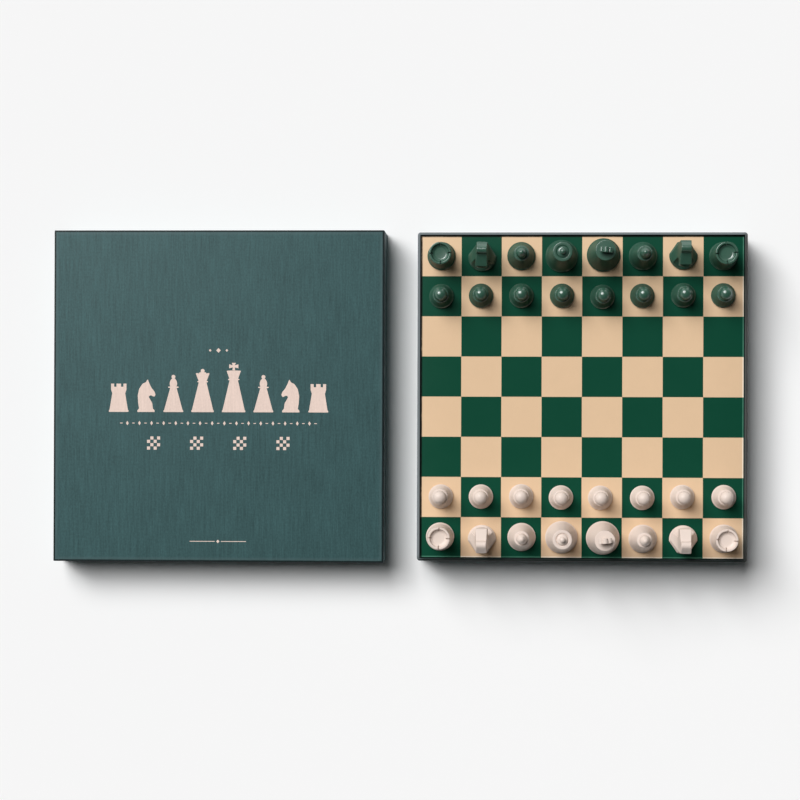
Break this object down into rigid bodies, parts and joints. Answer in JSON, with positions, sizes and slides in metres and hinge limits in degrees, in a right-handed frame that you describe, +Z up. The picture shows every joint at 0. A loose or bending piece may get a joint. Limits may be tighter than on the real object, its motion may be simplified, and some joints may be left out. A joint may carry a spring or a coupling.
{
  "type": "boxed chess set",
  "caption": "Square lift-lid box of wrapped board with a lift-out chequered playing board and turned chessmen set up on it; the lid stands beside the tray.",
  "frame": {"origin": "centre of the tray's underside, on the surface that the set stands on", "axes": "+X from the lid to the tray, towards the h-file; +Y from the white side to the green side; +Z up"},
  "size_m": [0.659, 0.316, 0.1102],
  "materials": {
    "greyboard": "plain grey board, matt",
    "insert_card": "uncoated card, matt",
    "teal_paper": "dark teal linen-embossed paper, matt",
    "lining_paper": "smooth dark paper, matt",
    "light_print": "satin laminated print, warm beige",
    "dark_print": "satin laminated print, deep green",
    "white_lacquer": "turned wood under satin cream lacquer",
    "green_lacquer": "turned wood under glossy dark green lacquer"
  },
  "bodies": {
    "tray": {"tray_board": "greyboard", "tray_wrap": "teal_paper", "tray_base_sheet": "lining_paper", "tray_lining": "lining_paper", "insert_collar": "insert_card", "insert_divider": "insert_card"},
    "board": {"board_core": "greyboard", "board_face": "light_print", "dark_squares": "dark_print", "board_underside": "lining_paper"},
    "lid": {"lid_board": "greyboard", "lid_wrap": "teal_paper", "lid_lining": "lining_paper"},
    "white_rook_a": {"white_rook_a": "white_lacquer"},
    "white_knight_b": {"white_knight_b": "white_lacquer"},
    "white_bishop_c": {"white_bishop_c": "white_lacquer"},
    "white_queen": {"white_queen": "white_lacquer"},
    "white_king": {"white_king": "white_lacquer", "white_king_cross": "white_lacquer"},
    "white_bishop_f": {"white_bishop_f": "white_lacquer"},
    "white_knight_g": {"white_knight_g": "white_lacquer"},
    "white_rook_h": {"white_rook_h": "white_lacquer"},
    "white_pawn_a": {"white_pawn_a": "white_lacquer"},
    "white_pawn_b": {"white_pawn_b": "white_lacquer"},
    "white_pawn_c": {"white_pawn_c": "white_lacquer"},
    "white_pawn_d": {"white_pawn_d": "white_lacquer"},
    "white_pawn_e": {"white_pawn_e": "white_lacquer"},
    "white_pawn_f": {"white_pawn_f": "white_lacquer"},
    "white_pawn_g": {"white_pawn_g": "white_lacquer"},
    "white_pawn_h": {"white_pawn_h": "white_lacquer"},
    "green_rook_a": {"green_rook_a": "green_lacquer"},
    "green_knight_b": {"green_knight_b": "green_lacquer"},
    "green_bishop_c": {"green_bishop_c": "green_lacquer"},
    "green_queen": {"green_queen": "green_lacquer"},
    "green_king": {"green_king": "green_lacquer", "green_king_cross": "green_lacquer"},
    "green_bishop_f": {"green_bishop_f": "green_lacquer"},
    "green_knight_g": {"green_knight_g": "green_lacquer"},
    "green_rook_h": {"green_rook_h": "green_lacquer"},
    "green_pawn_a": {"green_pawn_a": "green_lacquer"},
    "green_pawn_b": {"green_pawn_b": "green_lacquer"},
    "green_pawn_c": {"green_pawn_c": "green_lacquer"},
    "green_pawn_d": {"green_pawn_d": "green_lacquer"},
    "green_pawn_e": {"green_pawn_e": "green_lacquer"},
    "green_pawn_f": {"green_pawn_f": "green_lacquer"},
    "green_pawn_g": {"green_pawn_g": "green_lacquer"},
    "green_pawn_h": {"green_pawn_h": "green_lacquer"}
  },
  "joints": [
    {"name": "board_lift", "type": "slide", "parent": "tray", "child": "board", "axis": [0, 0, 1], "range_m": [0, 0.06]},
    {"name": "lid_lift", "type": "slide", "parent": "tray", "child": "lid", "axis": [0, 0, 1], "range_m": [0, 0.15]},
    {"name": "white_rook_a_lift", "type": "slide", "parent": "board", "child": "white_rook_a", "axis": [0, 0, 1], "range_m": [0, 0.08]},
    {"name": "white_knight_b_lift", "type": "slide", "parent": "board", "child": "white_knight_b", "axis": [0, 0, 1], "range_m": [0, 0.08]},
    {"name": "white_bishop_c_lift", "type": "slide", "parent": "board", "child": "white_bishop_c", "axis": [0, 0, 1], "range_m": [0, 0.08]},
    {"name": "white_queen_lift", "type": "slide", "parent": "board", "child": "white_queen", "axis": [0, 0, 1], "range_m": [0, 0.08]},
    {"name": "white_king_lift", "type": "slide", "parent": "board", "child": "white_king", "axis": [0, 0, 1], "range_m": [0, 0.08]},
    {"name": "white_bishop_f_lift", "type": "slide", "parent": "board", "child": "white_bishop_f", "axis": [0, 0, 1], "range_m": [0, 0.08]},
    {"name": "white_knight_g_lift", "type": "slide", "parent": "board", "child": "white_knight_g", "axis": [0, 0, 1], "range_m": [0, 0.08]},
    {"name": "white_rook_h_lift", "type": "slide", "parent": "board", "child": "white_rook_h", "axis": [0, 0, 1], "range_m": [0, 0.08]},
    {"name": "white_pawn_a_lift", "type": "slide", "parent": "board", "child": "white_pawn_a", "axis": [0, 0, 1], "range_m": [0, 0.08]},
    {"name": "white_pawn_b_lift", "type": "slide", "parent": "board", "child": "white_pawn_b", "axis": [0, 0, 1], "range_m": [0, 0.08]},
    {"name": "white_pawn_c_lift", "type": "slide", "parent": "board", "child": "white_pawn_c", "axis": [0, 0, 1], "range_m": [0, 0.08]},
    {"name": "white_pawn_d_lift", "type": "slide", "parent": "board", "child": "white_pawn_d", "axis": [0, 0, 1], "range_m": [0, 0.08]},
    {"name": "white_pawn_e_lift", "type": "slide", "parent": "board", "child": "white_pawn_e", "axis": [0, 0, 1], "range_m": [0, 0.08]},
    {"name": "white_pawn_f_lift", "type": "slide", "parent": "board", "child": "white_pawn_f", "axis": [0, 0, 1], "range_m": [0, 0.08]},
    {"name": "white_pawn_g_lift", "type": "slide", "parent": "board", "child": "white_pawn_g", "axis": [0, 0, 1], "range_m": [0, 0.08]},
    {"name": "white_pawn_h_lift", "type": "slide", "parent": "board", "child": "white_pawn_h", "axis": [0, 0, 1], "range_m": [0, 0.08]},
    {"name": "green_rook_a_lift", "type": "slide", "parent": "board", "child": "green_rook_a", "axis": [0, 0, 1], "range_m": [0, 0.08]},
    {"name": "green_knight_b_lift", "type": "slide", "parent": "board", "child": "green_knight_b", "axis": [0, 0, 1], "range_m": [0, 0.08]},
    {"name": "green_bishop_c_lift", "type": "slide", "parent": "board", "child": "green_bishop_c", "axis": [0, 0, 1], "range_m": [0, 0.08]},
    {"name": "green_queen_lift", "type": "slide", "parent": "board", "child": "green_queen", "axis": [0, 0, 1], "range_m": [0, 0.08]},
    {"name": "green_king_lift", "type": "slide", "parent": "board", "child": "green_king", "axis": [0, 0, 1], "range_m": [0, 0.08]},
    {"name": "green_bishop_f_lift", "type": "slide", "parent": "board", "child": "green_bishop_f", "axis": [0, 0, 1], "range_m": [0, 0.08]},
    {"name": "green_knight_g_lift", "type": "slide", "parent": "board", "child": "green_knight_g", "axis": [0, 0, 1], "range_m": [0, 0.08]},
    {"name": "green_rook_h_lift", "type": "slide", "parent": "board", "child": "green_rook_h", "axis": [0, 0, 1], "range_m": [0, 0.08]},
    {"name": "green_pawn_a_lift", "type": "slide", "parent": "board", "child": "green_pawn_a", "axis": [0, 0, 1], "range_m": [0, 0.08]},
    {"name": "green_pawn_b_lift", "type": "slide", "parent": "board", "child": "green_pawn_b", "axis": [0, 0, 1], "range_m": [0, 0.08]},
    {"name": "green_pawn_c_lift", "type": "slide", "parent": "board", "child": "green_pawn_c", "axis": [0, 0, 1], "range_m": [0, 0.08]},
    {"name": "green_pawn_d_lift", "type": "slide", "parent": "board", "child": "green_pawn_d", "axis": [0, 0, 1], "range_m": [0, 0.08]},
    {"name": "green_pawn_e_lift", "type": "slide", "parent": "board", "child": "green_pawn_e", "axis": [0, 0, 1], "range_m": [0, 0.08]},
    {"name": "green_pawn_f_lift", "type": "slide", "parent": "board", "child": "green_pawn_f", "axis": [0, 0, 1], "range_m": [0, 0.08]},
    {"name": "green_pawn_g_lift", "type": "slide", "parent": "board", "child": "green_pawn_g", "axis": [0, 0, 1], "range_m": [0, 0.08]},
    {"name": "green_pawn_h_lift", "type": "slide", "parent": "board", "child": "green_pawn_h", "axis": [0, 0, 1], "range_m": [0, 0.08]}
  ]
}
